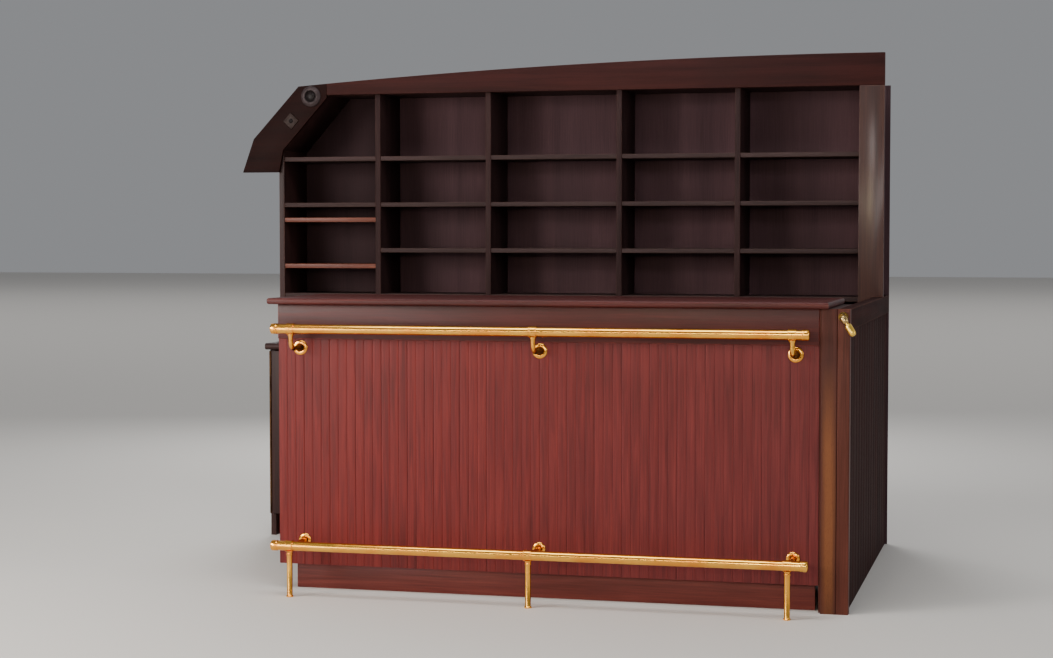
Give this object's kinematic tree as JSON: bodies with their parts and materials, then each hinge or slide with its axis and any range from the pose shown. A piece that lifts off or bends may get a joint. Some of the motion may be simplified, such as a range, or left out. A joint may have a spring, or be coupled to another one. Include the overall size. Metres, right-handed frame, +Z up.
{
  "type": "barge saloon bar counter with back bar",
  "caption": "Fitted bar from a barge saloon: boarded counter with brass hand rail and foot rail, low side partition, and shelved back bar with cupboard doors under a cambered fascia.",
  "frame": {"origin": "bottom centre of the bar's overall box, on the deck", "axes": "+X to the right seen from the customer side, +Y from the customer side back to the bulkhead, +Z up"},
  "size_m": [3.0144, 1.9846, 2.1959],
  "materials": {
    "mahogany": "satin varnished red mahogany",
    "dark_mahogany": "dark stained mahogany, satin",
    "warm_wood": "varnished brown wood",
    "brass": "polished",
    "grey_ring": "satin"
  },
  "bodies": {
    "bar": {"counter_top": "mahogany", "counter_apron": "mahogany", "counter_front": "mahogany", "counter_left_end": "mahogany", "fascia": "mahogany", "raking_board": "mahogany", "counter_right_end": "dark_mahogany", "partition_panel": "dark_mahogany", "counter_floor": "dark_mahogany", "counter_plinth": "dark_mahogany", "counter_shelf": "dark_mahogany", "counter_divider_1": "dark_mahogany", "counter_divider_2": "dark_mahogany", "corner_post_outer": "dark_mahogany", "partition_rail": "dark_mahogany", "back_worktop": "dark_mahogany", "cupboard_floor": "dark_mahogany", "cupboard_plinth": "dark_mahogany", "cupboard_left_end": "dark_mahogany", "cupboard_divider_1": "dark_mahogany", "cupboard_divider_2": "dark_mahogany", "cupboard_divider_3": "dark_mahogany", "cupboard_divider_4": "dark_mahogany", "left_cheek": "dark_mahogany", "right_cheek": "dark_mahogany", "top_board": "dark_mahogany", "slant_board": "dark_mahogany", "upright_1": "dark_mahogany", "upright_2": "dark_mahogany", "upright_3": "dark_mahogany", "upright_4": "dark_mahogany", "shelf_row_1": "dark_mahogany", "shelf_row_2": "dark_mahogany", "shelf_row_3": "dark_mahogany", "shelf_row_4": "dark_mahogany", "back_panel": "dark_mahogany", "rear_stile": "dark_mahogany", "corner_post_inner": "warm_wood", "left_bay_shelf_1": "warm_wood", "left_bay_shelf_2": "warm_wood", "hand_rail": "brass", "foot_rail": "brass", "rope_hook": "brass", "hand_rail_bracket_1": "brass", "hand_rail_bracket_2": "brass", "hand_rail_bracket_3": "brass", "foot_rail_stand_1": "brass", "foot_rail_stand_2": "brass", "foot_rail_stand_3": "brass", "door_hinge_1": "brass", "door_hinge_2": "brass", "door_hinge_3": "brass", "door_hinge_4": "brass", "door_hinge_5": "brass", "round_fitting": "grey_ring"},
    "door_1": {"cupboard_door_1": "dark_mahogany"},
    "door_2": {"cupboard_door_2": "dark_mahogany"},
    "door_3": {"cupboard_door_3": "dark_mahogany"},
    "door_4": {"cupboard_door_4": "dark_mahogany"},
    "door_5": {"cupboard_door_5": "dark_mahogany"}
  },
  "joints": [
    {"name": "door_1_hinge", "type": "hinge", "parent": "bar", "child": "door_1", "pos_m": [-1.3212, 0.52625, 0.485], "axis": [0, 0, -1], "range_deg": [0, 95]},
    {"name": "door_2_hinge", "type": "hinge", "parent": "bar", "child": "door_2", "pos_m": [-0.8332, 0.52625, 0.485], "axis": [0, 0, -1], "range_deg": [0, 95]},
    {"name": "door_3_hinge", "type": "hinge", "parent": "bar", "child": "door_3", "pos_m": [-0.3012, 0.52625, 0.485], "axis": [0, 0, -1], "range_deg": [0, 95]},
    {"name": "door_4_hinge", "type": "hinge", "parent": "bar", "child": "door_4", "pos_m": [0.3108, 0.52625, 0.485], "axis": [0, 0, -1], "range_deg": [0, 95]},
    {"name": "door_5_hinge", "type": "hinge", "parent": "bar", "child": "door_5", "pos_m": [0.8478, 0.52625, 0.485], "axis": [0, 0, -1], "range_deg": [0, 95]}
  ]
}
